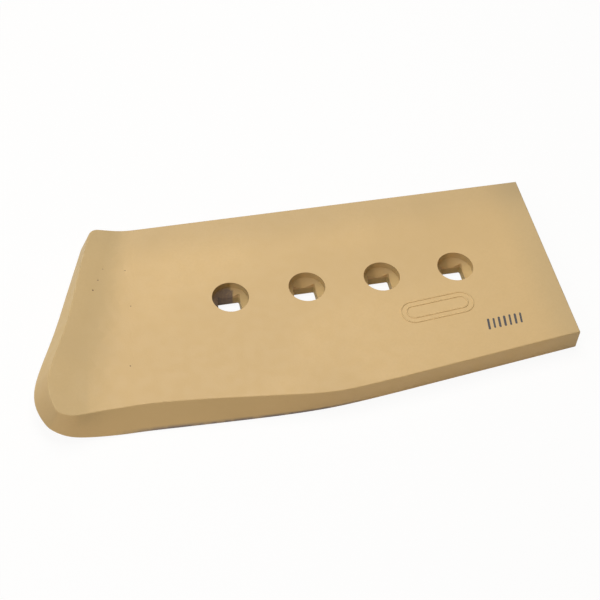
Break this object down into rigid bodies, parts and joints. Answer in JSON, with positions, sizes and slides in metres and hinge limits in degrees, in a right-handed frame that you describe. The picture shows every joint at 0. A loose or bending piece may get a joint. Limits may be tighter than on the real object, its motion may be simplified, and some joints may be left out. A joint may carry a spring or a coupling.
{
  "type": "dozer end bit",
  "caption": "Flat wear plate for the outer corner of a dozer blade, with a forward-bent wing, a bevelled outer edge and a row of countersunk square bolt holes.",
  "frame": {"origin": "middle of the row of bolt holes, on the flat back face", "axes": "+X along the length from the bent wing to the square inner end, +Y from the bottom edge to the straight top edge, +Z out of the front face that the bolt heads sink into; the part lies on its back"},
  "size_m": [0.5251, 0.2304, 0.0391],
  "materials": {
    "painted_steel": "satin"
  },
  "bodies": {
    "root": {"end_bit": "painted_steel"}
  },
  "joints": []
}
